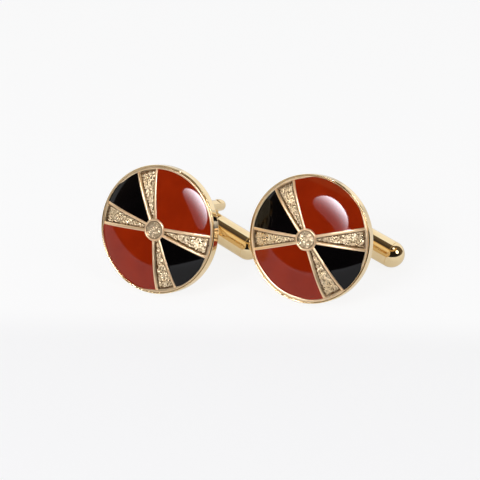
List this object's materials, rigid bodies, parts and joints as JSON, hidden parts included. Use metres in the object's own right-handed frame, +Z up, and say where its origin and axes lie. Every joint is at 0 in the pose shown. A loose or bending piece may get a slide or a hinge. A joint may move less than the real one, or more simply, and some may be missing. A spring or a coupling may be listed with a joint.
{
  "type": "cufflinks",
  "caption": "Matching round gold-plated cufflinks, each face divided by flared arms into red and black enamel fields, with bullet-shaped swivel bars in round-rod forks.",
  "frame": {"origin": "on the table under the middle of the pair's bounding box", "axes": "+X to the viewer's right along the pair, -Y towards the viewer, +Z up"},
  "size_m": [0.0458, 0.0267, 0.0183],
  "materials": {
    "polished_gold": "mirror-polished gold plating on brass",
    "struck_gold": "die-struck gold plating, bright walls and granular sunk floors",
    "red_enamel": "glossy opaque deep red enamel",
    "black_enamel": "glossy black enamel",
    "solder": "dull soft solder, hidden",
    "spring_steel": "satin spring steel, hidden"
  },
  "bodies": {
    "root": {"left_cup": "polished_gold", "left_face_plate": "struck_gold", "left_red_enamel_upper": "red_enamel", "left_red_enamel_lower": "red_enamel", "left_black_enamel_upper": "black_enamel", "left_black_enamel_lower": "black_enamel", "left_bond": "solder", "left_foot": "polished_gold", "left_fork": "polished_gold", "left_hinge_pin": "polished_gold", "right_cup": "polished_gold", "right_face_plate": "struck_gold", "right_red_enamel_upper": "red_enamel", "right_red_enamel_lower": "red_enamel", "right_black_enamel_upper": "black_enamel", "right_black_enamel_lower": "black_enamel", "right_bond": "solder", "right_foot": "polished_gold", "right_fork": "polished_gold", "right_hinge_pin": "polished_gold"},
    "left_toggle": {"left_toggle_tube": "polished_gold", "left_toggle_cap_inner": "polished_gold", "left_toggle_cap_outer": "polished_gold", "left_detent_springs": "spring_steel"},
    "right_toggle": {"right_toggle_tube": "polished_gold", "right_toggle_cap_inner": "polished_gold", "right_toggle_cap_outer": "polished_gold", "right_detent_springs": "spring_steel"}
  },
  "joints": [
    {"name": "left_toggle_swing", "type": "hinge", "parent": "root", "child": "left_toggle", "pos_m": [-0.00701, 0.00727, 0.00395], "axis": [0.3882, 0.1517, 0.909], "range_deg": [-90, 90]},
    {"name": "right_toggle_swing", "type": "hinge", "parent": "root", "child": "right_toggle", "pos_m": [0.01466, 0.00563, 0.00395], "axis": [0.3815, 0.1678, 0.909], "range_deg": [-90, 90]}
  ]
}
